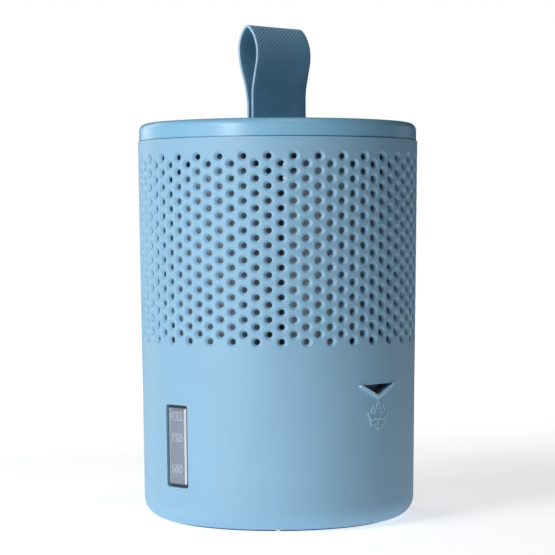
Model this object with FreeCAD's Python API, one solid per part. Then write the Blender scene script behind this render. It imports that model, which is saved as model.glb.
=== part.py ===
"""A refillable desiccant dehumidifier canister: tank, perforated wall, lift-off lid and strap.

Own frame: the origin is at the middle of the base, +Z is up, the spout faces -Y and the level
window faces -X. A bearing is an angle about Z that is 0 at the spout and -90 at the window.
All sizes are in millimetres.
"""
import FreeCAD, Part
import math
import os

from FreeCAD import Vector

# Overall heights
BASE_Z = 0.8
TRAY_Z = 88.0
BAND_LOW_Z = 96.0
BAND_HIGH_Z = 200.6
RIM_Z = 206.8
LID_EDGE_Z = 207.3
LID_TOP_Z = 216.7
STRAP_TOP_Z = 270.0

# The wall: a cone that widens upwards
WALL_R = 77.0
WALL_R_Z = 196.7
DRAFT = 0.0139
WALL = 2.2
FLOOR = 2.4
BASE_CORNER = 11.0

# Perforations: columns alternate between two heights, half a pitch apart
COLUMNS = 72
ROWS = 13
ROW_PITCH = 7.725
TOP_ROW_Z = 196.7
FIRST_COLUMN = 2.0
HOLE_R = 1.55
DIMPLE_R = 3.05
DIMPLE_DEPTH = 1.4
SHOULDER_R = 2.55
SHOULDER_DEPTH = 0.28
RING_POINTS = 12

# Level window
WINDOW_BEARING = -90.9
WINDOW_W = 17.0
WINDOW_LOW_Z = 21.8
WINDOW_HIGH_Z = 65.7
WINDOW_CORNER = 1.5
LENS_INSET = 1.7
MARK_HEIGHTS = (33.8, 50.4, 61.8)

# Spout
SPOUT_HALF_W = 12.3
SPOUT_TOP_Z = 76.6
SPOUT_LOW_Z = 70.4
LIP_T = 1.5
LIP_OUT = 1.2
LIP_OVERRUN = 0.4

# Pictogram under the spout
RELIEF = 0.35
STROKE = 0.65

# Lid and strap
LID_R = 76.5
LID_WALL = 2.2
LID_CORNER = 4.0
SKIRT_LOW_Z = 200.0
STRAP_W = 41.0
STRAP_T = 1.4
STRAP_Y = 0.5
STRAND_GAP = 2.1
BAR_R = 1.0
BAR_Z = 213.0
FOLD_Z = 219.5

CLEAR = 0.1
BIG = 400.0


def wall_r(z, depth=0.0):
    """Radius of the wall at a height, at a depth in from its outer face."""
    return WALL_R + DRAFT * (z - WALL_R_Z) - depth


def cone_between(z_low, z_high, depth):
    return Part.makeCone(wall_r(z_low, depth), wall_r(z_high, depth), z_high - z_low,
                         Vector(0, 0, z_low))


def wall_shell(z_low, z_high, depth_out, depth_in):
    """A ring that follows the wall between two depths in from its outer face."""
    return cone_between(z_low, z_high, depth_out).cut(cone_between(z_low, z_high, depth_in))


def ring(r_in, r_out, z_low, z_high):
    outer = Part.makeCylinder(r_out, z_high - z_low, Vector(0, 0, z_low))
    return outer.cut(Part.makeCylinder(r_in, z_high - z_low, Vector(0, 0, z_low)))


def disc(radius, z_low, z_high):
    return Part.makeCylinder(radius, z_high - z_low, Vector(0, 0, z_low))


def centred_box(size_x, size_y, z_low, z_high, x=0.0, y=0.0):
    return Part.makeBox(size_x, size_y, z_high - z_low,
                        Vector(x - size_x / 2, y - size_y / 2, z_low))


def turned(shape, bearing):
    """A copy of a shape that faces the spout, turned to another bearing."""
    copy = shape.copy()
    copy.rotate(Vector(0, 0, 0), Vector(0, 0, 1), bearing)
    return copy


def united(shapes):
    first, rest = shapes[0], shapes[1:]
    return first.fuse(rest) if rest else first


def tidy(shape):
    return shape.removeSplitter()


def front_prism(outline):
    """A flat outline in X and Z, drawn out towards the spout."""
    return Part.Face(outline).extrude(Vector(0, -BIG, 0))


def rounded_rectangle(width, z_low, z_high, corner):
    """An upright rectangle in the XZ plane with rounded corners."""
    half, low, high = width / 2 - corner, z_low + corner, z_high - corner
    diagonal = corner * math.sqrt(0.5)
    edges = []
    corners = [(half, low, 1, -1), (half, high, 1, 1), (-half, high, -1, 1), (-half, low, -1, -1)]
    for x, z, sx, sz in corners:
        side, end = Vector(x + sx * corner, 0, z), Vector(x, 0, z + sz * corner)
        first, last = (end, side) if sx * sz < 0 else (side, end)
        middle = Vector(x + sx * diagonal, 0, z + sz * diagonal)
        edges.append(Part.Arc(first, middle, last).toShape())
    sides = [Part.makeLine(edges[i].lastVertex().Point, edges[(i + 1) % 4].firstVertex().Point)
             for i in range(4)]
    return Part.Wire([edge for pair in zip(edges, sides) for edge in pair])


def capsule(start, end, width):
    """A stroke with round ends between two points (x, z), as an outline in the XZ plane."""
    a, b = Vector(start[0], 0, start[1]), Vector(end[0], 0, end[1])
    along = (b - a).normalize()
    side = Vector(-along.z, 0, along.x) * (width / 2)
    cap = along * (width / 2)
    return Part.Wire([
        Part.makeLine(a + side, b + side), Part.Arc(b + side, b + cap, b - side).toShape(),
        Part.makeLine(b - side, a - side), Part.Arc(a - side, a - cap, a + side).toShape()])


def strokes(points, width):
    """A line of strokes through the points, as one solid drawn out towards the spout."""
    return united([front_prism(capsule(a, b, width)) for a, b in zip(points, points[1:])])


# ---------------------------------------------------------------- perforated wall

def hole_point(angle, inward, across, z):
    """A point at a distance from the axis along a column's direction, and across it."""
    return Vector(inward * math.cos(angle) - across * math.sin(angle),
                  inward * math.sin(angle) + across * math.cos(angle), z)


def hole_ring(angle, z_mid, radius, depth, on_wall):
    """A closed edge round a hole, lying on the wall at that depth or flat across the hole."""
    points = []
    for i in range(RING_POINTS):
        turn = 2 * math.pi * i / RING_POINTS
        across, z = radius * math.cos(turn), z_mid + radius * math.sin(turn)
        if on_wall:
            inward = math.sqrt(wall_r(z, depth) ** 2 - across ** 2)
        else:
            inward = wall_r(z_mid, depth)
        points.append(hole_point(angle, inward, across, z))
    curve = Part.BSplineCurve()
    curve.interpolate(Points=points, PeriodicFlag=True)
    return curve.toShape()


def pierced(face, rims):
    """A face of the wall with holes along the closed edges."""
    result = face.copy()
    result.cutHoles([Part.Wire([rim]) for rim in rims])
    result.validate()
    return result


def band_sector():
    """The faces of two neighbouring columns of dimpled holes, with the wall between them."""
    step = 2 * math.pi / COLUMNS
    start = math.radians(FIRST_COLUMN) - step / 2
    faces, outer_rims, inner_rims = [], [], []
    for column in range(2):
        angle = start + (column + 0.5) * step
        for row in range(ROWS):
            z = TOP_ROW_Z - ROW_PITCH * (row + column / 2)
            rings = [hole_ring(angle, z, DIMPLE_R, 0, True),
                     hole_ring(angle, z, SHOULDER_R, SHOULDER_DEPTH, True),
                     hole_ring(angle, z, HOLE_R, DIMPLE_DEPTH, False),
                     hole_ring(angle, z, HOLE_R, WALL, True)]
            faces += [Part.makeRuledSurface(a, b) for a, b in zip(rings, rings[1:])]
            outer_rims.append(rings[0])
            inner_rims.append(rings[-1])
    for depth, rims in ((0, outer_rims), (WALL, inner_rims)):
        side = Part.makeLine(Vector(wall_r(BAND_LOW_Z, depth), 0, BAND_LOW_Z),
                             Vector(wall_r(BAND_HIGH_Z, depth), 0, BAND_HIGH_Z))
        wall = turned(side, math.degrees(start)).revolve(Vector(0, 0, 0), Vector(0, 0, 1),
                                                         math.degrees(2 * step))
        faces.append(pierced(wall.Faces[0], rims))
    for z in (BAND_LOW_Z, BAND_HIGH_Z):
        side = Part.makeLine(Vector(wall_r(z, WALL), 0, z), Vector(wall_r(z), 0, z))
        faces += turned(side, math.degrees(start)).revolve(
            Vector(0, 0, 0), Vector(0, 0, 1), math.degrees(2 * step)).Faces
    return faces


def perforated_band():
    """The whole perforated ring, sewn from equal sectors."""
    sector = Part.Compound(band_sector())
    sectors = [turned(sector, 2 * 360.0 / COLUMNS * i) for i in range(COLUMNS // 2)]
    skin = Part.Compound([face for s in sectors for face in s.Faces])
    skin.sewShape()
    band = Part.Solid(skin.Shells[0])
    if band.Volume < 0:
        band.reverse()
    return band


# ---------------------------------------------------------------- housing

def base_corner(depth, bottom_z, radius):
    """The arc between a flat bottom and the wall, tangent to both, as edge and its two ends."""
    slope = math.atan(DRAFT)
    centre_z = bottom_z + radius
    centre_r = wall_r(centre_z, depth) - radius / math.cos(slope)
    low = Vector(centre_r, 0, bottom_z)
    high = Vector(centre_r + radius * math.cos(slope), 0, centre_z - radius * math.sin(slope))
    turn = -(math.pi / 2 + slope) / 2
    middle = Vector(centre_r + radius * math.cos(turn), 0, centre_z + radius * math.sin(turn))
    return Part.Arc(low, middle, high).toShape(), low, high


def cup(depth, bottom_z, radius, top_z):
    """A solid cup shape: flat bottom, rounded corner and tapered wall, filled to its top."""
    corner, low, high = base_corner(depth, bottom_z, radius)
    top = Vector(wall_r(top_z, depth), 0, top_z)
    outline = Part.Wire([
        Part.makeLine(Vector(0, 0, bottom_z), low), corner, Part.makeLine(high, top),
        Part.makeLine(top, Vector(0, 0, top_z)),
        Part.makeLine(Vector(0, 0, top_z), Vector(0, 0, bottom_z))])
    return Part.Face(outline).revolve(Vector(0, 0, 0), Vector(0, 0, 1), 360)


FOOT_IN_R = 57.0
FOOT_OUT_R = 62.4
FOOT_GROOVE = 1.2
LEDGE_W = 3.6
LEDGE_T = 3.0


def tank():
    """The lower part of the housing, up to the perforations, with the ledge for the tray."""
    solid = cup(0, BASE_Z, BASE_CORNER, BAND_LOW_Z)
    solid = solid.cut(cup(WALL, BASE_Z + FLOOR, BASE_CORNER - FLOOR, BAND_LOW_Z))
    ledge_r = wall_r(TRAY_Z, WALL) - LEDGE_W
    ledge = wall_shell(TRAY_Z - LEDGE_T - LEDGE_W, TRAY_Z, WALL / 2, WALL + LEDGE_W + 1)
    underside = Part.makeCone(wall_r(TRAY_Z, WALL), ledge_r, LEDGE_W,
                              Vector(0, 0, TRAY_Z - LEDGE_T - LEDGE_W))
    ledge = ledge.cut([underside, disc(ledge_r, TRAY_Z - LEDGE_T - 1, TRAY_Z + 1)])
    groove = ring(FOOT_IN_R, FOOT_OUT_R, BASE_Z - 1, BASE_Z + FOOT_GROOVE)
    return solid.fuse(ledge).cut(groove)


def spout_outline(grow=0.0):
    """The spout's triangle, point down, grown outwards by an even margin."""
    half, height = SPOUT_HALF_W, SPOUT_TOP_Z - SPOUT_LOW_Z
    edge = math.hypot(half, height)
    point_drop = grow * edge / half
    corner_out = grow * (edge + half) / height
    points = [Vector(-half - corner_out, 0, SPOUT_TOP_Z + grow),
              Vector(0, 0, SPOUT_LOW_Z - point_drop),
              Vector(half + corner_out, 0, SPOUT_TOP_Z + grow)]
    return Part.makePolygon(points + [points[0]])


def lip_band(thickness, overrun):
    """The V that runs under the spout's two lower edges, drawn out towards the front."""
    half, height = SPOUT_HALF_W, SPOUT_TOP_Z - SPOUT_LOW_Z
    edge = math.hypot(half, height)
    reach = (edge + overrun) / edge
    drop = thickness / 2 * edge / half
    end_x, end_z = half * reach, SPOUT_LOW_Z - drop + height * reach
    points = [(-end_x, end_z), (0, SPOUT_LOW_Z - drop), (end_x, end_z)]
    return strokes(points, thickness).cut(front_prism(spout_outline()))


WAVE_X = (-6.0, -4.2, -2.0, 0.0, 2.0, 4.2, 6.0)
WAVE_Z = 58.1
WAVE_HALF = 0.65
DROPS = ((0.0, 64.8), (-3.7, 62.6), (3.7, 62.6))
DROP_R = 1.25
DROP_TIP = 2.6


def drop_outline(x, z, radius, tip):
    """A drop: a round bottom whose sides run up to a point."""
    lean = math.acos(radius / tip)
    side_x, side_z = radius * math.sin(lean), radius * math.cos(lean)
    left, right = Vector(x - side_x, 0, z + side_z), Vector(x + side_x, 0, z + side_z)
    return Part.Wire([Part.Arc(left, Vector(x, 0, z - radius), right).toShape(),
                      Part.makeLine(right, Vector(x, 0, z + tip)),
                      Part.makeLine(Vector(x, 0, z + tip), left)])


def pictogram():
    """Drops falling into a basin with a wave and a drain arrow, raised from the wall."""
    marks = []
    for x, z in DROPS:
        outer = front_prism(drop_outline(x, z, DROP_R + STROKE / 2, DROP_TIP + STROKE))
        marks.append(outer.cut(front_prism(drop_outline(x, z, DROP_R - STROKE / 2,
                                                        DROP_TIP - STROKE))))
    for side in (-1, 1):
        marks.append(strokes([(7.4 * side, 61.8), (5.1 * side, 55.5), (4.5 * side, 55.0),
                              (1.8 * side, 55.0)], STROKE))
        marks.append(strokes([(2.0 * side, 54.0), (0, 52.2)], STROKE))
    marks.append(strokes([(0, 56.7), (0, 52.2)], STROKE))
    wave = [(x, WAVE_Z + WAVE_HALF * (1 if i % 2 == 0 else -1)) for i, x in enumerate(WAVE_X)]
    marks.append(strokes(wave, STROKE))
    return united(marks).common(wall_shell(45, 72, -RELIEF, WALL / 2))


KEY_W = 6.0
KEY_DEEP = 1.2
KEY_Z = 201.5


def housing():
    """One moulding: tank, perforated wall, rim, spout with its lip, window opening."""
    rim = wall_shell(BAND_HIGH_Z, RIM_Z, 0, WALL)
    lip = lip_band(LIP_T, LIP_OVERRUN).common(wall_shell(60, 85, -LIP_OUT, WALL / 2))
    lower = tank().fuse([lip, pictogram()])
    window = turned(front_prism(rounded_rectangle(WINDOW_W, WINDOW_LOW_Z, WINDOW_HIGH_Z,
                                                  WINDOW_CORNER)), WINDOW_BEARING)
    lower = lower.cut([front_prism(spout_outline()), window])
    key_slot = centred_box(KEY_W + 1, 2 * (KEY_DEEP + 0.4), KEY_Z - 0.5, RIM_Z + 1,
                           y=wall_r(RIM_Z, WALL))
    rim = rim.cut(key_slot)
    return lower.fuse([perforated_band(), rim])


# ---------------------------------------------------------------- window

GASKET_T = 0.8
FLANGE_T = 1.2
FLANGE_OVER = 2.0
RETAINER_OVER = 4.0
RETAINER_T = 3.8
LENS_DEEP = 0.3
# The lens block's outline from inside to outside: each step's inset, its depth behind the
# foremost line of the lens's face, and its corner radius
LENS_STEPS = ((LENS_INSET, 5.0, 1.2), (LENS_INSET, 0.87, 1.2), (LENS_INSET + 1.1, 0.22, 0.6),
              (LENS_INSET + 1.1, -1.0, 0.6))


def window_prism(width_change, height_change, corner):
    """The window's outline, grown or shrunk, drawn out and turned to the window's bearing."""
    outline = rounded_rectangle(WINDOW_W + 2 * width_change, WINDOW_LOW_Z - height_change,
                                WINDOW_HIGH_Z + height_change, corner)
    return turned(front_prism(outline), WINDOW_BEARING)


def window_shell(depth_out, depth_in):
    return wall_shell(WINDOW_LOW_Z - 10, WINDOW_HIGH_Z + 10, depth_out, depth_in)


GASKET_OUT = WALL + CLEAR
GASKET_IN = GASKET_OUT + GASKET_T
FLANGE_OUT = GASKET_IN + CLEAR / 2
FLANGE_IN = FLANGE_OUT + FLANGE_T


def lens_block():
    """The lens's raised part with bevelled sides, leaning with the wall's draft."""
    middle = (WINDOW_LOW_Z + WINDOW_HIGH_Z) / 2
    face = wall_r(middle, LENS_DEEP)
    levels = []
    for inset, depth, corner in LENS_STEPS:
        level = rounded_rectangle(WINDOW_W - 2 * inset, WINDOW_LOW_Z + inset,
                                  WINDOW_HIGH_Z - inset, corner)
        level.translate(Vector(0, depth - face, 0))
        levels.append(level)
    block = Part.makeLoft(levels, True, True)
    block.rotate(Vector(0, -face, middle), Vector(1, 0, 0), math.degrees(math.atan(DRAFT)))
    return turned(block, WINDOW_BEARING)


def level_window():
    """The clear lens: a flange behind the wall, a bevelled block, and three level bars."""
    flange = window_prism(FLANGE_OVER, FLANGE_OVER, 2.0).common(window_shell(FLANGE_OUT, FLANGE_IN))
    block = lens_block().common(window_shell(LENS_DEEP, FLANGE_IN))
    marks = []
    for z in MARK_HEIGHTS:
        mark = strokes([(-3.6, z), (4.4, z)], 0.45)
        marks.append(turned(mark, WINDOW_BEARING).common(window_shell(LENS_DEEP / 2, 1.0)))
    return flange.fuse([block] + marks)


def window_gasket():
    outer = window_prism(FLANGE_OVER, FLANGE_OVER, 2.0).common(window_shell(GASKET_OUT, GASKET_IN))
    return outer.cut(window_prism(CLEAR - LENS_INSET, CLEAR - LENS_INSET, 1.3))


def window_retainer():
    """The frame glued inside the wall that holds the lens and its gasket."""
    outer = window_prism(RETAINER_OVER, RETAINER_OVER, 3.0)
    outer = outer.common(window_shell(GASKET_OUT, GASKET_OUT + RETAINER_T))
    seat = window_prism(FLANGE_OVER + CLEAR, FLANGE_OVER + CLEAR, 2.0)
    seat = seat.common(window_shell(WALL / 2, FLANGE_IN + CLEAR / 2))
    return outer.cut([seat, window_prism(-LENS_INSET, -LENS_INSET, 1.2)])


# ---------------------------------------------------------------- spout baffle

BAFFLE_FLANGE = 3.0
BAFFLE_FLANGE_T = 1.0
BAFFLE_W = 35.0
TROUGH_IN = 5.2
PLATE_OUT = 7.0
PLATE_IN = 8.4
STRUT_W = 2.0


def baffle_shell(depth_out, depth_in):
    """The space for the baffle between two depths, cut off at its two sides."""
    layer = wall_shell(SPOUT_LOW_Z - 12, SPOUT_TOP_Z + 8, depth_out, depth_in)
    return layer.common(centred_box(BAFFLE_W, WALL_R, 0, RIM_Z, y=-WALL_R))


def spout_baffle():
    """Behind the spout: a flange on the wall, a V trough, and a splash plate on struts."""
    inside = WALL + CLEAR
    flange = front_prism(spout_outline(BAFFLE_FLANGE)).cut(front_prism(spout_outline()))
    flange = flange.common(baffle_shell(inside, inside + BAFFLE_FLANGE_T))
    trough = lip_band(LIP_T, 0).common(baffle_shell(inside, TROUGH_IN))
    plate = front_prism(spout_outline(BAFFLE_FLANGE)).common(baffle_shell(PLATE_OUT, PLATE_IN))
    struts = []
    for side in (-1, 1):
        strut = strokes([(side * (SPOUT_HALF_W + 1.5), SPOUT_TOP_Z + 0.2),
                         (side * (SPOUT_HALF_W + 3.5), SPOUT_TOP_Z + 1.2)], STRUT_W)
        struts.append(strut.common(baffle_shell(inside, PLATE_IN)))
    return tidy(flange.fuse([trough, plate] + struts))


# ---------------------------------------------------------------- tray, pouches, foot

TRAY_R = 72.7
TRAY_T = 2.0
TRAY_RIM_T = 1.8
TRAY_RIM_Z = 95.6
SEAL_LOW_Z = 91.6
SEAL_HIGH_Z = 94.0
DRAIN_R = 1.7
DRAIN_RINGS = 6
DRAIN_SPACING = 9.5
RIB_RADII = (14.2, 33.2, 52.2)
RIB_H = 2.5


def drip_tray():
    """A dished plate with rings of drain holes and ribs that keep the pouches off them."""
    plate = disc(TRAY_R, TRAY_Z + CLEAR, TRAY_Z + TRAY_T)
    rim = ring(TRAY_R - TRAY_RIM_T, TRAY_R, TRAY_Z + CLEAR, TRAY_RIM_Z)
    ribs = [ring(r - 0.8, r + 0.8, TRAY_Z + TRAY_T, TRAY_Z + TRAY_T + RIB_H) for r in RIB_RADII]
    drains = []
    for n in range(1, DRAIN_RINGS + 1):
        for i in range(6 * n):
            turn = 2 * math.pi * i / (6 * n)
            drains.append(Part.makeCylinder(DRAIN_R, 2 * TRAY_T, Vector(
                n * DRAIN_SPACING * math.cos(turn), n * DRAIN_SPACING * math.sin(turn), TRAY_Z - 1)))
    groove = ring(TRAY_R - 1.0, TRAY_R + 1, SEAL_LOW_Z, SEAL_HIGH_Z)
    return plate.fuse([rim] + ribs).cut(drains + [groove])


def tray_gasket():
    return ring(TRAY_R - 0.95, wall_r(SEAL_LOW_Z, WALL + CLEAR), SEAL_LOW_Z + CLEAR,
                SEAL_HIGH_Z - CLEAR)


POUCH_BEARING = -44.0
POUCH_MID = 28.8
POUCH_HALF_T = 26.5
POUCH_HALF_W = 57.5
POUCH_LOW_Z = TRAY_Z + TRAY_T + RIB_H + 0.3
POUCH_HIGH_Z = 199.0
POUCH_POINTS = 16
SQUARENESS = 2.0 / 3.0
# Share of the height, of the thickness and of the width
POUCH_SHAPE = ((0.0, 0.62, 0.86), (0.05, 0.93, 0.98), (0.35, 1.0, 1.0), (0.65, 0.98, 0.99),
               (0.9, 0.87, 0.97), (1.0, 0.30, 0.95))


def pouch_section(z, half_t, half_w, side):
    """A rounded oblong across the pouch: thin towards the middle plane, wide along it."""
    points = []
    for i in range(POUCH_POINTS):
        turn = 2 * math.pi * i / POUCH_POINTS
        c, s = math.cos(turn), math.sin(turn)
        out = POUCH_MID + half_t * math.copysign(abs(c) ** SQUARENESS, c)
        along = half_w * math.copysign(abs(s) ** SQUARENESS, s)
        points.append(Vector(side * out, along, z))
    curve = Part.BSplineCurve()
    curve.interpolate(Points=points, PeriodicFlag=True)
    return Part.Wire([curve.toShape()])


def pillow(inset, top_share, side):
    """A pouch shape, drawn in by an inset all round and filled to a share of its height."""
    sections = []
    height = (POUCH_HIGH_Z - POUCH_LOW_Z - 2 * inset) * top_share
    for share, thick, wide in POUCH_SHAPE:
        z = POUCH_LOW_Z + inset + height * share
        sections.append(pouch_section(z, max(POUCH_HALF_T * thick - inset, 0.35),
                                      POUCH_HALF_W * wide - inset, side))
    return turned(Part.makeLoft(sections, True), POUCH_BEARING)


SKIN_T = 0.7
FILL_INSET = 1.6
FILL_SHARE = 0.86


def refill_pouch(side):
    """The woven skin of a pouch, hollow for its granules."""
    return pillow(0, 1.0, side).cut(pillow(SKIN_T, 0.97, side))


def desiccant(side):
    """The settled mass of granules in a pouch."""
    return pillow(FILL_INSET, FILL_SHARE, side)


def foot_ring():
    """The soft ring the canister stands on, with four notches that vent the base."""
    body = ring(FOOT_IN_R + CLEAR, FOOT_OUT_R - CLEAR, 0, BASE_Z + FOOT_GROOVE - CLEAR)
    notch = Part.makeBox(2.3, 20, BASE_Z, Vector(-1.15, -FOOT_OUT_R - 10, 0))
    return body.cut([turned(notch, 45 + 90 * i) for i in range(4)])


# ---------------------------------------------------------------- lid

SLOT_W = 43.0
SLOT_T = 6.4
PLATE_LOW_Z = 208.2
PLATE_HIGH_Z = 210.0
STEP_R = 75.6
REST_Z = RIM_Z + CLEAR
SCREW_R_AT = 60.0
SCREW_BEARINGS = (45, 135, 225, 315)
BOSS_R = 3.2
SCREW_R = 1.25
SADDLE_X = 23.4
SADDLE_W = 3.2


def lid_profile(radius, low_z, top_z, corner):
    """The half section of a disc with a rounded upper edge."""
    diagonal = corner * (1 - math.sqrt(0.5))
    low, side = Vector(radius, 0, low_z), Vector(radius, 0, top_z - corner)
    middle = Vector(radius - diagonal, 0, top_z - diagonal)
    end = Vector(radius - corner, 0, top_z)
    return Part.Face(Part.Wire([
        Part.makeLine(Vector(0, 0, low_z), low), Part.makeLine(low, side),
        Part.Arc(side, middle, end).toShape(), Part.makeLine(end, Vector(0, 0, top_z)),
        Part.makeLine(Vector(0, 0, top_z), Vector(0, 0, low_z))]))


def lid_disc(radius, low_z, top_z, corner):
    return lid_profile(radius, low_z, top_z, corner).revolve(Vector(0, 0, 0), Vector(0, 0, 1), 360)


def strap_slot():
    """A long hole with round ends, up through the cover."""
    half = (SLOT_W - SLOT_T) / 2
    ends = [Part.makeCylinder(SLOT_T / 2, 10, Vector(x, STRAP_Y, LID_TOP_Z - 6))
            for x in (-half, half)]
    return centred_box(2 * half, SLOT_T, LID_TOP_Z - 6, LID_TOP_Z + 4, y=STRAP_Y).fuse(ends)


def screw_places():
    for bearing in SCREW_BEARINGS:
        yield (SCREW_R_AT * math.sin(math.radians(bearing)),
               -SCREW_R_AT * math.cos(math.radians(bearing)))


def lid_cover():
    """The cap: rounded top edge, a stepped lower edge that makes the shadow gap, strap slot."""
    inner_r, ceiling = LID_R - LID_WALL, LID_TOP_Z - LID_WALL
    cap = lid_disc(LID_R, LID_EDGE_Z, LID_TOP_Z, LID_CORNER)
    cap = cap.fuse(disc(STEP_R, REST_Z, LID_EDGE_Z))
    cap = cap.cut(lid_disc(inner_r, REST_Z - 1, ceiling, LID_CORNER - LID_WALL))
    parts = [Part.makeCylinder(BOSS_R, ceiling - PLATE_HIGH_Z - CLEAR + 0.5,
                               Vector(x, y, PLATE_HIGH_Z + CLEAR)) for x, y in screw_places()]
    for side in (-1, 1):
        parts.append(centred_box(SADDLE_W, 8, PLATE_HIGH_Z + CLEAR, ceiling + 0.5,
                                 x=side * SADDLE_X, y=STRAP_Y))
    bar_hole = Part.makeCylinder(BAR_R + CLEAR, 60, Vector(-30, STRAP_Y, BAR_Z), Vector(1, 0, 0))
    bar_way = centred_box(60, 2 * (BAR_R + CLEAR), PLATE_HIGH_Z - 1, BAR_Z, y=STRAP_Y)
    holes = [Part.makeCylinder(SCREW_R, ceiling - PLATE_HIGH_Z - 1, Vector(x, y, PLATE_HIGH_Z))
             for x, y in screw_places()]
    return cap.fuse(parts).cut([strap_slot(), bar_hole, bar_way] + holes)


SKIRT_R = 73.6
SKIRT_T = 2.0
RING_LOW_Z = 202.4
RING_HIGH_Z = 204.8
LINER_R = LID_R - LID_WALL - CLEAR


def lid_liner():
    """The plug under the cover: a plate, a skirt with a groove for the seal, and the key."""
    plate = disc(LINER_R, PLATE_LOW_Z, PLATE_HIGH_Z)
    skirt = ring(SKIRT_R - SKIRT_T, SKIRT_R, SKIRT_LOW_Z, PLATE_LOW_Z)
    key_y = wall_r(RIM_Z, WALL) + KEY_DEEP / 2
    key = centred_box(KEY_W, 4, KEY_Z + 0.2, PLATE_LOW_Z, y=key_y - 2)
    groove = ring(SKIRT_R - 1.1, SKIRT_R + 1, RING_LOW_Z, RING_HIGH_Z)
    groove = groove.cut(centred_box(KEY_W, 8, RING_LOW_Z - 1, RING_HIGH_Z + 1, y=key_y))
    holes = [Part.makeCylinder(SCREW_R, 10, Vector(x, y, PLATE_LOW_Z - 1))
             for x, y in screw_places()]
    return plate.fuse([skirt, key]).cut([groove] + holes)


def lid_seal():
    """The soft ring in the skirt's groove, open at the key."""
    seal = ring(SKIRT_R - 1.05, wall_r(RING_LOW_Z, WALL + 0.3), RING_LOW_Z + CLEAR,
                RING_HIGH_Z - CLEAR)
    return seal.cut(centred_box(KEY_W + 1, 8, RING_LOW_Z - 1, RING_HIGH_Z + 1, y=SKIRT_R))


def lid_screws():
    """Four screws from below, as one group."""
    screws = []
    for x, y in screw_places():
        head = Part.makeCylinder(2.6, 1.6, Vector(x, y, PLATE_LOW_Z - 1.65))
        shank = Part.makeCylinder(SCREW_R - CLEAR / 2, 5.2, Vector(x, y, PLATE_LOW_Z - 0.05))
        cross = united([centred_box(2.8, 0.6, PLATE_LOW_Z - 2, PLATE_LOW_Z - 0.9, x=x, y=y),
                        centred_box(0.6, 2.8, PLATE_LOW_Z - 2, PLATE_LOW_Z - 0.9, x=x, y=y)])
        screws.append(head.fuse(shank).cut(cross))
    return Part.Compound(screws)


def strap_bar():
    """The steel pin in the cover's saddles that the webbing runs round."""
    length = 2 * SADDLE_X + SADDLE_W
    return Part.makeCylinder(BAR_R, length, Vector(-length / 2, STRAP_Y, BAR_Z), Vector(1, 0, 0))


# ---------------------------------------------------------------- strap

# The loop's middle line as (y, z), from the rear strand over the top to the front strand
LOOP = ((2.25, FOLD_Z), (2.5, 228.0), (4.3, 237.5), (7.7, 247.3), (9.2, 256.5), (7.9, 264.0),
        (3.3, STRAP_TOP_Z - STRAP_T / 2 + 0.4), (-1.4, 266.3), (-4.4, 260.0), (-5.1, 253.0),
        (-3.6, 245.5), (-1.5, 236.0), (-1.2, 228.0), (-1.25, FOLD_Z))


def loop_side(offset):
    """The loop's line moved sideways by an offset, as one smooth edge."""
    line = Part.BSplineCurve()
    line.interpolate(Points=[Vector(0, y, z) for y, z in LOOP], InitialTangent=Vector(0, 0, 1),
                     FinalTangent=Vector(0, 0, -1))
    first, last = line.FirstParameter, line.LastParameter
    count = 2 * len(LOOP)
    points = []
    for i in range(count + 1):
        at = first + (last - first) * i / count
        tangent = Vector(*line.tangent(at)[0])
        points.append(line.value(at) + Vector(0, -tangent.z, tangent.y) * offset)
    side = Part.BSplineCurve()
    side.interpolate(Points=points, InitialTangent=Vector(0, 0, 1), FinalTangent=Vector(0, 0, -1))
    return side.toShape()


def band_of(outline):
    """An outline in the YZ plane made into webbing of full width."""
    face = Part.Face(outline)
    face.translate(Vector(-STRAP_W / 2, 0, 0))
    return face.extrude(Vector(STRAP_W, 0, 0))


def carry_strap():
    """The free loop of webbing, down to where it bends over."""
    inner, outer = loop_side(-STRAP_T / 2), loop_side(STRAP_T / 2)
    ends = [Part.makeLine(pick(inner), pick(outer))
            for pick in (lambda e: e.firstVertex().Point, lambda e: e.lastVertex().Point)]
    return band_of(Part.Wire(Part.__sortEdges__([inner, outer] + ends)))


def strap_root():
    """The part of the loop that goes down the slot and round the bar."""
    near, far = STRAND_GAP / 2, STRAND_GAP / 2 + STRAP_T

    def turn(radius):
        return Part.Arc(Vector(0, STRAP_Y - radius, BAR_Z), Vector(0, STRAP_Y, BAR_Z - radius),
                        Vector(0, STRAP_Y + radius, BAR_Z)).toShape()

    def line(y_from, z_from, y_to, z_to):
        return Part.makeLine(Vector(0, STRAP_Y + y_from, z_from), Vector(0, STRAP_Y + y_to, z_to))

    edges = [turn(near), turn(far)]
    for side in (-1, 1):
        edges += [line(side * near, BAR_Z, side * near, FOLD_Z),
                  line(side * far, BAR_Z, side * far, FOLD_Z),
                  line(side * near, FOLD_Z, side * far, FOLD_Z)]
    return band_of(Part.Wire(Part.__sortEdges__(edges)))


PARTS = {
    "housing": housing,
    "level_window": level_window,
    "window_gasket": window_gasket,
    "window_retainer": window_retainer,
    "spout_baffle": spout_baffle,
    "foot_ring": foot_ring,
    "drip_tray": drip_tray,
    "tray_gasket": tray_gasket,
    "refill_pouch_left": lambda: refill_pouch(-1),
    "refill_pouch_right": lambda: refill_pouch(1),
    "desiccant_left": lambda: desiccant(-1),
    "desiccant_right": lambda: desiccant(1),
    "lid_cover": lid_cover,
    "lid_liner": lid_liner,
    "lid_seal": lid_seal,
    "lid_screws": lid_screws,
    "strap_bar": strap_bar,
    "strap_root": strap_root,
    "carry_strap": carry_strap,
}

os.makedirs("parts", exist_ok=True)
for name, make in PARTS.items():
    shape = make()
    shape.exportStep(f"parts/{name}.step")
    print(f"{name}: {len(shape.Solids)} solid(s), {shape.Volume / 1000:.2f} cm3, "
          f"valid {shape.isValid()}")
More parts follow.
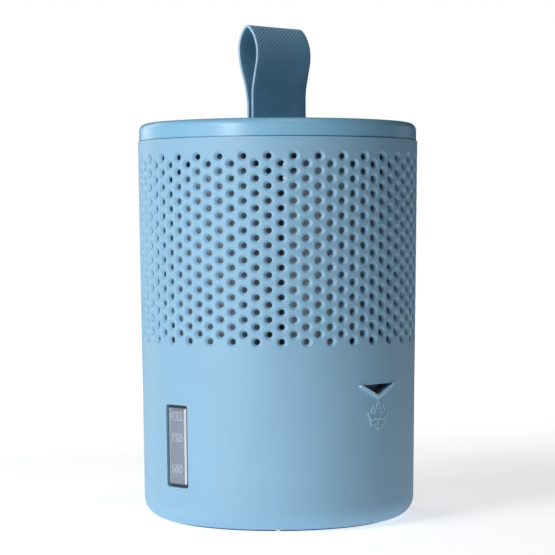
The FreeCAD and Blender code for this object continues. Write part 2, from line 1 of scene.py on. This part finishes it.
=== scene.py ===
"""The dehumidifier canister's looks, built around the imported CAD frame.

Units are metres, in the frame's own axes: +Z up, the spout towards -Y, the window towards -X.
"""
import math

import bmesh
import bpy
from mathutils import Matrix, Vector


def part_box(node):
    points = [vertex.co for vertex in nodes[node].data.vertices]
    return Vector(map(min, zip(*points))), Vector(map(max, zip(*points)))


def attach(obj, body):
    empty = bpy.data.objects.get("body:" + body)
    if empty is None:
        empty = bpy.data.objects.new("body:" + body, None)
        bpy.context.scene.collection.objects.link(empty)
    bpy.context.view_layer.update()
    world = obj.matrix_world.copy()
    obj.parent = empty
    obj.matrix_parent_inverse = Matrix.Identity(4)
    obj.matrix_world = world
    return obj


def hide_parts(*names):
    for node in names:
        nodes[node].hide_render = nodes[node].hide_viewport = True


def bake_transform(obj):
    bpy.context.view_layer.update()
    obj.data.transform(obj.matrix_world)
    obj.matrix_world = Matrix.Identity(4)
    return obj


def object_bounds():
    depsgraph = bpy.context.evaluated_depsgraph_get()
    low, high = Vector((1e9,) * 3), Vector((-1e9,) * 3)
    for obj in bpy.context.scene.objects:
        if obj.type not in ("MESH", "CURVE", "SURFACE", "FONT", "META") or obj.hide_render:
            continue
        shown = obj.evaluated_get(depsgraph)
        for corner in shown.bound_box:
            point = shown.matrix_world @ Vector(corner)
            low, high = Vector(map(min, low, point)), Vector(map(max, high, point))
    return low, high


MM = 0.001

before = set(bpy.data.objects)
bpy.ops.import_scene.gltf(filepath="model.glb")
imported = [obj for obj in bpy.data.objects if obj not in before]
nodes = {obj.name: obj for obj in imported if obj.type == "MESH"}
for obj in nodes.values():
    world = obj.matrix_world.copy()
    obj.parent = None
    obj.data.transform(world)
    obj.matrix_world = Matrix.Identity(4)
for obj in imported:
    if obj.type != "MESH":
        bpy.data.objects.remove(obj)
cad_low, cad_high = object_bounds()

# The canister's wall widens upwards by this slope, and the lens's face lies sunk in it
WALL_SLOPE = 0.0139
LENS_SUNK = 0.3 * MM
MARK_RAISED = 0.15 * MM
TOP_MARK_Z = 62.0 * MM
lens_low, lens_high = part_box("level_window")
LENS_MIDDLE_Y = (lens_low.y + lens_high.y) / 2
LENS_BEARING = math.asin(LENS_MIDDLE_Y / lens_low.x)
# The lens's foremost point is its highest mark; this radius is its face's, taken down to z 0
LENS_FACE_R = -lens_low.x - MARK_RAISED - WALL_SLOPE * TOP_MARK_Z
# Past these radii, also at z 0, a point is on a raised mark or on the wall's lip and sign
MARK_LEVEL = LENS_FACE_R + 0.08 * MM
RELIEF_LEVEL = LENS_FACE_R + LENS_SUNK + 0.10 * MM

# ------------------------------------------------------------------ camera

CAMERA_BEARING = math.radians(-44.4)
CAMERA_DISTANCE = 1.155
CAMERA_HEIGHT = 0.1594
CAMERA_PITCH = math.radians(-1.373)
CAMERA_ROLL = -0.00414
CAMERA_LENS = 135.2
CAMERA_SHIFT = (-0.0012, 0.0006)


def make_camera():
    """The photograph's view: a long lens a little above the middle of the canister."""
    data = bpy.data.cameras.new("camera")
    data.lens, data.sensor_width = CAMERA_LENS, 36.0
    data.shift_x, data.shift_y = CAMERA_SHIFT
    data.clip_start, data.clip_end = 0.05, 50.0
    camera = bpy.data.objects.new("camera", data)
    bpy.context.scene.collection.objects.link(camera)
    flat = Vector((-math.sin(CAMERA_BEARING), math.cos(CAMERA_BEARING), 0))
    up = Vector((0, 0, 1))
    ahead = flat * math.cos(CAMERA_PITCH) + up * math.sin(CAMERA_PITCH)
    right = ahead.cross(up).normalized()
    above = right.cross(ahead)
    c, s = math.cos(CAMERA_ROLL), math.sin(CAMERA_ROLL)
    right, above = right * c + above * s, above * c - right * s
    turn = Matrix((right, above, -ahead)).transposed()
    camera.matrix_world = Matrix.LocRotScale(
        -flat * CAMERA_DISTANCE + up * CAMERA_HEIGHT, turn, None)
    bpy.context.scene.camera = camera


# ------------------------------------------------------------------ light and floor

# Name, bearing from the camera in degrees (positive to its right), height angle, distance,
# width, height and power
LIGHTS = (
    ("low_key", -38, 14, 1.5, 0.4, 0.6, 9.8),
    ("high_key", -50, 36, 1.5, 0.6, 0.7, 5.1),
    ("side_key", -62, 14, 1.5, 0.6, 0.7, 2.1),
    ("back_left", -135, 12, 1.7, 0.8, 1.4, 7.1),
    ("back_right", 125, 8, 1.7, 0.5, 1.0, 0.8),
    ("top", 30, 78, 1.4, 0.5, 0.5, 2.4),
)
AMBIENT = 0.01
# The floor's glow at a near and a far distance: what lights the object from below, and what
# the camera sees, which runs out to white
FLOOR_REACH = (0.3, 0.9)
FLOOR_BOUNCE = (0.43, 0.0)
FLOOR_SEEN = (0.62, 1.0)
FLOOR_R = 7.0


def make_light(name, bearing, elevation, distance, width, height, power):
    data = bpy.data.lights.new(name, "AREA")
    data.shape, data.size, data.size_y, data.energy = "RECTANGLE", width, height, power
    light = bpy.data.objects.new(name, data)
    bpy.context.scene.collection.objects.link(light)
    turn, lift = CAMERA_BEARING + math.radians(bearing), math.radians(elevation)
    out = Vector((math.sin(turn) * math.cos(lift), -math.cos(turn) * math.cos(lift),
                  math.sin(lift)))
    aim = Vector((0, 0, cad_high.z * 0.45))
    light.location = aim + out * distance
    light.rotation_mode = "QUATERNION"
    light.rotation_quaternion = out.to_track_quat("Z", "Y")


def make_world():
    """White to the camera, dim to everything else, so that the lamps do the modelling."""
    world = bpy.data.worlds.new("world")
    bpy.context.scene.world = world
    world.use_nodes = True
    tree = world.node_tree
    tree.nodes.clear()
    seen = tree.nodes.new("ShaderNodeBackground")
    seen.inputs["Color"].default_value = (1, 1, 1, 1)
    dim = tree.nodes.new("ShaderNodeBackground")
    dim.inputs["Color"].default_value = (0.92, 0.96, 1, 1)
    dim.inputs["Strength"].default_value = AMBIENT
    ray = tree.nodes.new("ShaderNodeLightPath")
    mix = tree.nodes.new("ShaderNodeMixShader")
    out = tree.nodes.new("ShaderNodeOutputWorld")
    tree.links.new(ray.outputs["Is Camera Ray"], mix.inputs["Fac"])
    tree.links.new(dim.outputs[0], mix.inputs[1])
    tree.links.new(seen.outputs[0], mix.inputs[2])
    tree.links.new(mix.outputs[0], out.inputs["Surface"])


def make_floor():
    mesh = bpy.data.meshes.new("floor")
    build = bmesh.new()
    bmesh.ops.create_circle(build, cap_ends=True, segments=96, radius=FLOOR_R)
    build.to_mesh(mesh)
    build.free()
    floor = bpy.data.objects.new("floor", mesh)
    bpy.context.scene.collection.objects.link(floor)
    material = bpy.data.materials.new("floor")
    material.use_nodes = True
    tree = material.node_tree
    shader = tree.nodes["Principled BSDF"]
    shader.inputs["Base Color"].default_value = (0.86, 0.87, 0.88, 1)
    shader.inputs["Roughness"].default_value = 0.7
    shader.inputs["Emission Color"].default_value = (1, 1, 1, 1)
    place = tree.nodes.new("ShaderNodeTexCoord").outputs["Object"]
    away = tree.nodes.new("ShaderNodeVectorMath")
    away.operation = "LENGTH"
    tree.links.new(place, away.inputs[0])
    mix = tree.nodes.new("ShaderNodeMix")
    ray = tree.nodes.new("ShaderNodeLightPath")
    tree.links.new(ray.outputs["Is Camera Ray"], mix.inputs["Factor"])
    for socket, levels in (("A", FLOOR_BOUNCE), ("B", FLOOR_SEEN)):
        glow = tree.nodes.new("ShaderNodeMapRange")
        glow.inputs["From Min"].default_value, glow.inputs["From Max"].default_value = FLOOR_REACH
        glow.inputs["To Min"].default_value, glow.inputs["To Max"].default_value = levels
        tree.links.new(away.outputs["Value"], glow.inputs["Value"])
        tree.links.new(glow.outputs["Result"], mix.inputs[socket])
    tree.links.new(mix.outputs["Result"], shader.inputs["Emission Strength"])
    mesh.materials.append(material)


# ------------------------------------------------------------------ materials

class Look:
    """A node material under construction, with object coordinates in metres."""

    def __init__(self, name, **sockets):
        self.material = bpy.data.materials.new(name)
        self.material.use_nodes = True
        self.tree = self.material.node_tree
        self.shader = self.tree.nodes["Principled BSDF"]
        self.place = self.tree.nodes.new("ShaderNodeTexCoord").outputs["Object"]
        for socket, value in sockets.items():
            self.shader.inputs[socket.replace("_", " ")].default_value = value

    def node(self, kind, links=(), **settings):
        """A new node: settings are its properties, or its inputs' values by name."""
        made = self.tree.nodes.new("ShaderNode" + kind)
        for key, value in settings.items():
            if hasattr(made, key):
                setattr(made, key, value)
            else:
                made.inputs[key.replace("_", " ")].default_value = value
        for key, source in dict(links).items():
            self.tree.links.new(source, made.inputs[key])
        return made

    def noise(self, scale, detail=3.0, roughness=0.55, where=None):
        made = self.node("TexNoise", {"Vector": where or self.place}, Scale=scale,
                         Detail=detail, Roughness=roughness)
        return made.outputs["Fac"]

    def ramp(self, value, low, high, start=0.3, end=0.7):
        """A value spread between two numbers."""
        made = self.node("MapRange", {"Value": value})
        for socket, number in (("From Min", start), ("From Max", end),
                               ("To Min", low), ("To Max", high)):
            made.inputs[socket].default_value = number
        return made.outputs["Result"]

    def blend(self, factor, first, second):
        """Two colours mixed by a factor; each is a colour or another node's output."""
        made = self.node("Mix", data_type="RGBA")
        self.tree.links.new(factor, made.inputs["Factor"])
        for socket, value in (("A", first), ("B", second)):
            target = [s for s in made.inputs if s.name == socket and s.type == "RGBA"][0]
            if isinstance(value, tuple):
                target.default_value = (*value, 1)
            else:
                self.tree.links.new(value, target)
        return [s for s in made.outputs if s.type == "RGBA"][0]

    def beyond(self, level):
        """How far a point stands out past a cone that widens with the wall's slope."""
        parts = self.node("SeparateXYZ", {"Vector": self.place})
        flat = self.node("CombineXYZ", {"X": parts.outputs["X"], "Y": parts.outputs["Y"]})
        out = self.node("VectorMath", {0: flat.outputs[0]}, operation="LENGTH").outputs["Value"]
        taper = self.maths("MULTIPLY", parts.outputs["Z"], WALL_SLOPE)
        return self.maths("SUBTRACT", out, self.maths("ADD", taper, level))

    def maths(self, operation, first, second=None):
        made = self.node("Math", operation=operation)
        for socket, value in zip(made.inputs, (first, second)):
            if value is None:
                continue
            if isinstance(value, (int, float)):
                socket.default_value = value
            else:
                self.tree.links.new(value, socket)
        return made.outputs[0]

    def bump(self, height, strength, distance, below=None):
        links = {"Height": height}
        if below is not None:
            links["Normal"] = below
        made = self.node("Bump", links, Strength=strength, Distance=distance)
        return made.outputs["Normal"]

    def wire(self, **sources):
        for socket, source in sources.items():
            self.tree.links.new(source, self.shader.inputs[socket.replace("_", " ")])
        return self.material


def moulded_plastic(name, colour, grain=0.22, low=0.36, high=0.5, painted_relief_highlight=None, **sockets):
    """Fine spark-textured plastic with faint flow marks and a few handling scuffs.

    The highlight colour, if any, paints a highlight on what stands out from the canister's wall.
    """
    look = Look(name, **sockets)
    cloud = look.noise(22.0, 4.0)
    fine = look.noise(1500.0, 2.0)
    speck = look.noise(420.0, 3.0)
    dark = tuple(c * 0.955 for c in colour)
    light = tuple(min(1.0, c * 1.03) for c in colour)
    scuff = look.ramp(look.noise(65.0, 8.0, 0.75), 0, 1, 0.62, 0.74)
    tone = look.blend(look.ramp(cloud, 0, 1), dark, light)
    tone = look.blend(look.ramp(speck, 0, 0.10), tone, tuple(min(1.0, c * 1.12) for c in colour))
    # Raised marks, the lip and the sign are painted paler: a painted highlight where they stand
    # out from the wall.
    if painted_relief_highlight is not None:
        raised = look.ramp(look.beyond(RELIEF_LEVEL), 0, 1, 0, 0.0002)
        tone = look.blend(raised, tone, painted_relief_highlight)
    rough = look.maths("ADD", look.ramp(cloud, low, high), look.maths("MULTIPLY", scuff, 0.05))
    rough = look.maths("ADD", rough, look.ramp(fine, -0.03, 0.03))
    normal = look.bump(fine, grain, 0.00006)
    normal = look.bump(cloud, 0.08, 0.0004, normal)
    return look.wire(Base_Color=tone, Roughness=rough, Normal=normal)


# Where the painted highlight on the lens's bevels starts, as a distance to the side of its middle
PAINTED_BEVEL_HIGHLIGHT = (5.6 * MM, 5.8 * MM)


def clear_plastic(name):
    """The lens: cloudy lilac grey, satin, with paler raised marks and a painted highlight on its
    bevels.
    """
    look = Look(name, IOR=1.49, Transmission_Weight=0.25)
    cloud = look.noise(45.0, 2.0)
    tone = look.blend(look.ramp(cloud, 0, 1), (0.29, 0.35, 0.44), (0.31, 0.37, 0.46))
    mark = look.ramp(look.beyond(MARK_LEVEL), 0, 1, 0.0, 0.00005)
    tone = look.blend(mark, tone, (0.58, 0.65, 0.72))
    parts = look.node("SeparateXYZ", {"Vector": look.place})
    across = look.maths("ABSOLUTE", look.maths("SUBTRACT", parts.outputs["Y"], LENS_MIDDLE_Y))
    # Both bevels are painted near white: a painted highlight standing in for the glint on the
    # lens's edges.
    tone = look.blend(look.ramp(across, 0, 1, *PAINTED_BEVEL_HIGHLIGHT), tone, (0.86, 0.90, 0.94))
    return look.wire(Base_Color=tone, Roughness=look.ramp(cloud, 0.27, 0.33),
                     Normal=look.bump(cloud, 0.03, 0.0002))


def soft_rubber(name, colour, rough=0.62):
    look = Look(name)
    fine = look.noise(1100.0, 3.0)
    cloud = look.noise(70.0, 4.0)
    tone = look.blend(look.ramp(cloud, 0, 1), tuple(c * 0.8 for c in colour), colour)
    return look.wire(Base_Color=tone, Roughness=look.ramp(cloud, rough - 0.08, rough + 0.08),
                     Normal=look.bump(fine, 0.3, 0.00008))


def pouch_cloth(name):
    """Non-woven sachet fabric: matted fibres with a faint embossed dot grid."""
    look = Look(name, Sheen_Weight=0.25, Sheen_Roughness=0.5)
    fibres = look.noise(700.0, 8.0, 0.8)
    cloud = look.noise(90.0, 5.0)
    dots = look.node("TexVoronoi", {"Vector": look.place}, Scale=420.0).outputs["Distance"]
    tone = look.blend(look.ramp(fibres, 0, 1), (0.66, 0.70, 0.74), (0.84, 0.87, 0.90))
    tone = look.blend(look.ramp(cloud, 0, 0.35), tone, (0.60, 0.66, 0.72))
    normal = look.bump(look.ramp(dots, 0, 1, 0.1, 0.5), 0.35, 0.0003)
    normal = look.bump(fibres, 0.45, 0.0002, normal)
    return look.wire(Base_Color=tone, Roughness=look.ramp(fibres, 0.78, 0.95), Normal=normal)


def granule_mass(name):
    look = Look(name)
    beads = look.node("TexVoronoi", {"Vector": look.place}, Scale=330.0)
    tone = look.blend(beads.outputs["Color"], (0.78, 0.80, 0.81), (0.90, 0.91, 0.92))
    height = look.ramp(beads.outputs["Distance"], 1, 0, 0.0, 0.6)
    return look.wire(Base_Color=tone, Roughness=look.ramp(look.noise(500.0), 0.45, 0.7),
                     Normal=look.bump(height, 0.8, 0.0012))


def plated_steel(name):
    look = Look(name, Metallic=1.0)
    scratches = look.node("Mapping", {"Vector": look.place}, vector_type="POINT")
    scratches.inputs["Scale"].default_value = (40, 1200, 1200)
    lines = look.noise(1.0, 4.0, 0.6, scratches.outputs[0])
    tone = look.blend(look.ramp(lines, 0, 1), (0.50, 0.51, 0.53), (0.68, 0.69, 0.70))
    return look.wire(Base_Color=tone, Roughness=look.ramp(lines, 0.28, 0.46),
                     Normal=look.bump(lines, 0.2, 0.00005))


# Spacings of the twill's ridges along and across the webbing, and of its threads
TWILL_ALONG = 1.92 * MM
TWILL_ACROSS = 2.81 * MM
THREAD_PITCH = 0.70 * MM


def twill_webbing(name, dark, light):
    """Diagonal twill from the strap's own lengthwise and crosswise coordinates, in metres."""
    look = Look(name, Sheen_Weight=0.35, Sheen_Roughness=0.35)
    uv = look.node("UVMap", uv_map="weave").outputs["UV"]
    parts = look.node("SeparateXYZ", {"Vector": uv})
    along, across = parts.outputs["X"], parts.outputs["Y"]
    waver = look.ramp(look.noise(300.0, 2.0), -0.5, 0.5)
    phase = look.maths("ADD", look.maths("MULTIPLY", along, 2 * math.pi / TWILL_ALONG),
                       look.maths("MULTIPLY", across, 2 * math.pi / TWILL_ACROSS))
    phase = look.maths("ADD", phase, waver)
    ridge = look.ramp(look.maths("SINE", phase), 0, 1, -1, 1)
    picks = look.maths("SINE", look.maths("MULTIPLY", across, 2 * math.pi / THREAD_PITCH))
    picks = look.ramp(picks, 0, 1, -1, 1)
    weave = look.maths("ADD", look.maths("MULTIPLY", ridge, 0.6),
                       look.maths("MULTIPLY", picks, 0.4))
    fuzz = look.noise(2200.0, 3.0)
    tone = look.blend(look.ramp(weave, 0, 1, 0.1, 0.9), dark, light)
    tone = look.blend(look.ramp(look.noise(60.0, 4.0), 0, 0.25), tone, dark)
    normal = look.bump(weave, 0.6, 0.00022)
    normal = look.bump(fuzz, 0.3, 0.00008, normal)
    return look.wire(Base_Color=tone, Roughness=look.ramp(fuzz, 0.45, 0.62), Normal=normal)


def plain_webbing(name, colour):
    """The smooth inner face or the pale cut edge of the webbing."""
    look = Look(name, Sheen_Weight=0.1)
    fine = look.noise(1300.0, 4.0)
    cloud = look.noise(80.0, 3.0)
    tone = look.blend(look.ramp(cloud, 0, 1), tuple(c * 0.85 for c in colour), colour)
    return look.wire(Base_Color=tone, Roughness=look.ramp(fine, 0.5, 0.7),
                     Normal=look.bump(fine, 0.35, 0.0001))


def dress(material, *names):
    """Gives CAD nodes a material in every slot."""
    for name in names:
        piece = nodes[name]
        if not piece.material_slots:
            piece.data.materials.append(material)
        for slot in piece.material_slots:
            slot.material = material


def dress_nodes():
    # The body's raised marks and lip get a paler colour: a painted highlight.
    body = moulded_plastic("body_plastic", (0.277, 0.503, 0.694), low=0.46, high=0.60,
                           painted_relief_highlight=(0.46, 0.70, 0.88))
    lid = moulded_plastic("lid_plastic", (0.242, 0.515, 0.735), grain=0.15, low=0.26, high=0.36)
    inner = moulded_plastic("inner_plastic", (0.20, 0.30, 0.40), low=0.35, high=0.5)
    tray = moulded_plastic("tray_plastic", (0.55, 0.60, 0.64), low=0.3, high=0.45)
    dress(body, "housing")
    dress(lid, "lid_cover")
    dress(inner, "spout_baffle", "window_retainer")
    dress(tray, "drip_tray", "lid_liner")
    dress(clear_plastic("clear_plastic"), "level_window")
    dress(soft_rubber("dark_seal", (0.05, 0.06, 0.075)), "window_gasket", "foot_ring")
    dress(soft_rubber("silicone", (0.50, 0.55, 0.60), 0.4), "tray_gasket", "lid_seal")
    dress(granule_mass("granules"), "desiccant_left", "desiccant_right")
    dress(plated_steel("steel"), "lid_screws", "strap_bar")


# ------------------------------------------------------------------ mesh helpers

def new_piece(name, build, *materials):
    """A piece made from a bmesh, smooth shaded."""
    mesh = bpy.data.meshes.new(name)
    bmesh.ops.recalc_face_normals(build, faces=build.faces)
    build.to_mesh(mesh)
    build.free()
    mesh.polygons.foreach_set("use_smooth", [True] * len(mesh.polygons))
    piece = bpy.data.objects.new(name, mesh)
    bpy.context.scene.collection.objects.link(piece)
    for material in materials:
        mesh.materials.append(material)
    return piece


# ------------------------------------------------------------------ strap

STRAP_T = 1.4 * MM
STRAND_GAP = 2.1 * MM
EDGE_ROUND = 0.35 * MM
# The loop's middle line as (y, z) in millimetres, from the rear strand over to the front one
LOOP = ((2.25, 219.5), (2.5, 228.0), (4.3, 237.5), (7.7, 247.3), (9.2, 256.5), (7.9, 264.0),
        (3.3, 269.7), (-1.4, 266.3), (-4.4, 260.0), (-5.1, 253.0), (-3.6, 245.5), (-1.5, 236.0),
        (-1.2, 228.0), (-1.25, 219.5))
LOOP_STEPS = 14
TURN_STEPS = 24
FACE_STEPS = 16
ROUND_STEPS = 3


def smooth_line(points, steps):
    """A Catmull-Rom line through points (y, z); its ends leave and arrive upright."""
    first = Vector((points[0][0], points[0][1] - 8))
    last = Vector((points[-1][0], points[-1][1] - 8))
    knots = [first, *[Vector(p) for p in points], last]
    line = []
    for a, b, c, d in zip(knots, knots[1:], knots[2:], knots[3:]):
        for i in range(steps):
            t = i / steps
            line.append(0.5 * ((2 * b) + (c - a) * t + (2 * a - 5 * b + 4 * c - d) * t * t
                               + (3 * b - a - 3 * c + d) * t ** 3))
    line.append(knots[-2])
    return line


def strap_line():
    """The whole closed middle line in metres: up the rear strand, over, down, round the bar."""
    loop = [p * MM for p in smooth_line(LOOP, LOOP_STEPS)]
    bar_low, bar_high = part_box("strap_bar")
    bar = Vector(((bar_low.y + bar_high.y) / 2, (bar_low.z + bar_high.z) / 2))
    radius = (STRAND_GAP + STRAP_T) / 2
    down = [Vector((loop[-1].x + (bar.x - radius - loop[-1].x) * t,
                    loop[-1].y + (bar.y - loop[-1].y) * t)) for t in (0.25, 0.5, 0.75)]
    turn = [bar + radius * Vector((-math.cos(math.pi * i / TURN_STEPS),
                                   -math.sin(math.pi * i / TURN_STEPS)))
            for i in range(TURN_STEPS + 1)]
    up = [Vector((bar.x + radius + (loop[0].x - bar.x - radius) * t,
                  bar.y + (loop[0].y - bar.y) * t)) for t in (0.25, 0.5, 0.75)]
    return loop + down + turn + up


def strap_section(width):
    """The webbing's outline as (place across, offset, material): 0 outside, 1 inside, 2 edge."""
    half, flat = width / 2, width / 2 - EDGE_ROUND
    body = STRAP_T / 2 - EDGE_ROUND
    across = [flat * (2 * i / FACE_STEPS - 1) for i in range(FACE_STEPS + 1)]
    side = [(a, STRAP_T / 2, 0) for a in across]
    quarter = [math.pi / 2 * i / ROUND_STEPS for i in range(1, ROUND_STEPS + 1)]
    side += [(flat + EDGE_ROUND * math.sin(q), body + EDGE_ROUND * math.cos(q), 2)
             for q in quarter]
    side += [(half, -body, 2)]
    side += [(flat + EDGE_ROUND * math.cos(q), -body - EDGE_ROUND * math.sin(q), 2)
             for q in quarter[:2]]
    side += [(a, -STRAP_T / 2, 1) for a in reversed(across)]
    side += [(-flat - EDGE_ROUND * math.sin(q), -body - EDGE_ROUND * math.cos(q), 2)
             for q in quarter]
    side += [(-half, body, 2)]
    side += [(-flat - EDGE_ROUND * math.cos(q), body + EDGE_ROUND * math.sin(q), 2)
             for q in quarter[:2]]
    return side


def make_strap():
    """One endless loop of webbing: outer twill face, smooth inner face, pale cut edges."""
    low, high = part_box("carry_strap")
    middle = (low.x + high.x) / 2
    section = strap_section(high.x - low.x)
    line = strap_line()
    build = bmesh.new()
    weave = build.loops.layers.uv.new("weave")
    rows, lengths, run = [], [], 0.0
    for i, point in enumerate(line):
        tangent = (line[(i + 1) % len(line)] - line[i - 1]).normalized()
        out = Vector((-tangent.y, tangent.x)) * -1
        rows.append([build.verts.new((middle + across, point.x + out.x * off,
                                      point.y + out.y * off)) for across, off, _ in section])
        lengths.append(run)
        run += (line[(i + 1) % len(line)] - point).length
    lengths.append(run)
    count = len(section)
    for i in range(len(rows)):
        row, following = rows[i], rows[(i + 1) % len(rows)]
        for j in range(count):
            k = (j + 1) % count
            face = build.faces.new((row[j], row[k], following[k], following[j]))
            flat = section[j][2] == section[k][2]
            face.material_index = section[j][2] if flat else 2
            for corner, (place, length) in zip(face.loops, (
                    (section[j], lengths[i]), (section[k], lengths[i]),
                    (section[k], lengths[i + 1]), (section[j], lengths[i + 1]))):
                corner[weave].uv = (length, place[0])
    strap = new_piece("strap", build,
                      twill_webbing("webbing_face", (0.10, 0.28, 0.46), (0.32, 0.66, 0.93)),
                      plain_webbing("webbing_inside", (0.20, 0.46, 0.64)),
                      plain_webbing("webbing_edge", (0.40, 0.62, 0.80)))
    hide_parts("carry_strap", "strap_root")
    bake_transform(strap)


# ------------------------------------------------------------------ refill pouches

POUCH_START = 0.96
POUCH_VOXEL = 4 * MM
POUCH_CAP = 4 * MM
POUCH_PRESSURE = 4.0
SWELL_FRAMES = 20
# The sealed seams, as shares of the sachet's height and of its half width
SEAM_HEIGHTS = (0.055, 0.945)
SEAM_SPREAD = 0.014
SEAM_DEPTH = 0.05


def outer_skin(node):
    """A copy of a CAD pouch's outer surface, without the cavity inside it."""
    build = bmesh.new()
    build.from_mesh(nodes[node].data)
    build.transform(nodes[node].matrix_world)
    bmesh.ops.remove_doubles(build, verts=build.verts, dist=1e-6)
    build.verts.ensure_lookup_table()
    top = max(build.verts, key=lambda v: v.co.z)
    skin, edge = {top}, [top]
    while edge:
        for link in edge.pop().link_edges:
            for v in link.verts:
                if v not in skin:
                    skin.add(v)
                    edge.append(v)
    bmesh.ops.delete(build, geom=[v for v in build.verts if v not in skin], context="VERTS")
    return build


def settle(piece, modifier_type, **settings):
    """Adds a modifier to a piece, applies it and leaves plain mesh."""
    modifier = piece.modifiers.new(modifier_type.lower(), modifier_type)
    for key, value in settings.items():
        setattr(modifier, key, value)
    with bpy.context.temp_override(object=piece, active_object=piece):
        bpy.ops.object.modifier_apply(modifier=modifier.name)


def swell(piece):
    """Inflates a piece as cloth; no point may end further than the cap from its start."""
    start = [v.co.copy() for v in piece.data.vertices]
    cloth = piece.modifiers.new("cloth", "CLOTH")
    cloth.settings.quality = 6
    cloth.settings.mass = 0.2
    cloth.settings.tension_stiffness = cloth.settings.compression_stiffness = 12
    cloth.settings.bending_stiffness = 0.6
    cloth.settings.shrink_min = -0.05
    cloth.settings.use_pressure = True
    cloth.settings.uniform_pressure_force = POUCH_PRESSURE
    cloth.settings.effector_weights.gravity = 0
    cloth.point_cache.frame_end = SWELL_FRAMES
    for frame_number in range(1, SWELL_FRAMES + 1):
        bpy.context.scene.frame_set(frame_number)
    shaped = piece.evaluated_get(bpy.context.evaluated_depsgraph_get()).data
    ends = [v.co.copy() for v in shaped.vertices]
    piece.modifiers.remove(cloth)
    for vertex, first, last in zip(piece.data.vertices, start, ends):
        move = last - first
        if move.length > POUCH_CAP:
            move *= POUCH_CAP / move.length
        vertex.co = first + move
    bpy.context.scene.frame_set(1)


def seal(piece, low, high):
    """Presses the sachet's sealed seams: a shallow crimped groove round both ends."""
    middle = (low + high) / 2
    for vertex in piece.data.vertices:
        up = (vertex.co.z - low.z) / (high.z - low.z)
        for seam in SEAM_HEIGHTS:
            press = SEAM_DEPTH * math.exp(-((up - seam) / SEAM_SPREAD) ** 2)
            vertex.co.x += (middle.x - vertex.co.x) * press
            vertex.co.y += (middle.y - vertex.co.y) * press


def make_pouch(side, material):
    """A sachet swollen by its granules, sealed across its top and bottom."""
    node = f"refill_pouch_{side}"
    low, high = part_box(node)
    middle = (low + high) / 2
    build = outer_skin(node)
    for v in build.verts:
        v.co = middle + (v.co - middle) * POUCH_START
    piece = new_piece(f"pouch_{side}", build, material)
    settle(piece, "REMESH", mode="VOXEL", voxel_size=POUCH_VOXEL)
    swell(piece)
    settle(piece, "SUBSURF", levels=1, render_levels=1)
    seal(piece, low, high)
    for vertex in piece.data.vertices:
        for axis in range(3):
            vertex.co[axis] = min(max(vertex.co[axis], low[axis]), high[axis])
    piece.data.polygons.foreach_set("use_smooth", [True] * len(piece.data.polygons))
    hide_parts(node)
    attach(piece, "canister")


# ------------------------------------------------------------------ level marks

# Each figure, the height of the bar over it, and its width in millimetres
MARKS = (("500", 33.8, 8.3), ("750", 50.4, 8.6), ("FULL", 61.8, 10.4))
MARK_TALL = 3.8 * MM
MARK_DROP = 0.6 * MM
MARK_ROOT = 0.1 * MM


def lens_radius(z):
    """The distance of the lens's face from the canister's axis, at a height."""
    return LENS_FACE_R + WALL_SLOPE * z


def flat_lettering(text):
    """A bmesh of one word, one unit wide and tall, centred across and hanging below 0."""
    curve = bpy.data.curves.new(text, "FONT")
    curve.body, curve.resolution_u = text, 5
    holder = bpy.data.objects.new(text, curve)
    bpy.context.scene.collection.objects.link(holder)
    depsgraph = bpy.context.evaluated_depsgraph_get()
    mesh = bpy.data.meshes.new_from_object(holder.evaluated_get(depsgraph))
    bpy.data.objects.remove(holder)
    build = bmesh.new()
    build.from_mesh(mesh)
    bmesh.ops.remove_doubles(build, verts=build.verts, dist=1e-5)
    xs, ys = [v.co.x for v in build.verts], [v.co.y for v in build.verts]
    for v in build.verts:
        v.co = ((v.co.x - min(xs)) / (max(xs) - min(xs)) - 0.5,
                (v.co.y - max(ys)) / (max(ys) - min(ys)), 0)
    return build


def make_numerals():
    """Raised level figures under the lens's three bars, bent to the lens's face."""
    material = moulded_plastic("mark_plastic", (0.50, 0.57, 0.64), low=0.25, high=0.4)
    for text, bar, width in MARKS:
        build = flat_lettering(text)
        bmesh.ops.subdivide_edges(build, cuts=1, edges=[
            e for e in build.edges if abs(e.verts[0].co.x - e.verts[1].co.x) > 0.08])
        grown = bmesh.ops.extrude_face_region(build, geom=list(build.faces))["geom"]
        raised = {v for v in grown if isinstance(v, bmesh.types.BMVert)}
        for v in build.verts:
            z = bar * MM - MARK_DROP + v.co.y * MARK_TALL
            reach = lens_radius(z) + (MARK_RAISED if v in raised else -MARK_ROOT)
            turn = LENS_BEARING + v.co.x * width * MM / reach
            v.co = (-reach * math.cos(turn), -reach * math.sin(turn), z)
        piece = new_piece(f"level_{text}", build, material)
        piece.data.polygons.foreach_set("use_smooth", [False] * len(piece.data.polygons))
        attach(piece, "canister")


# ------------------------------------------------------------------ scene

bpy.context.scene.view_settings.view_transform = "Standard"
make_camera()
for lamp in LIGHTS:
    make_light(*lamp)
make_world()
make_floor()
dress_nodes()
make_strap()
sachet_cloth = pouch_cloth("pouch_fabric")
for pouch_side in ("left", "right"):
    make_pouch(pouch_side, sachet_cloth)
make_numerals()
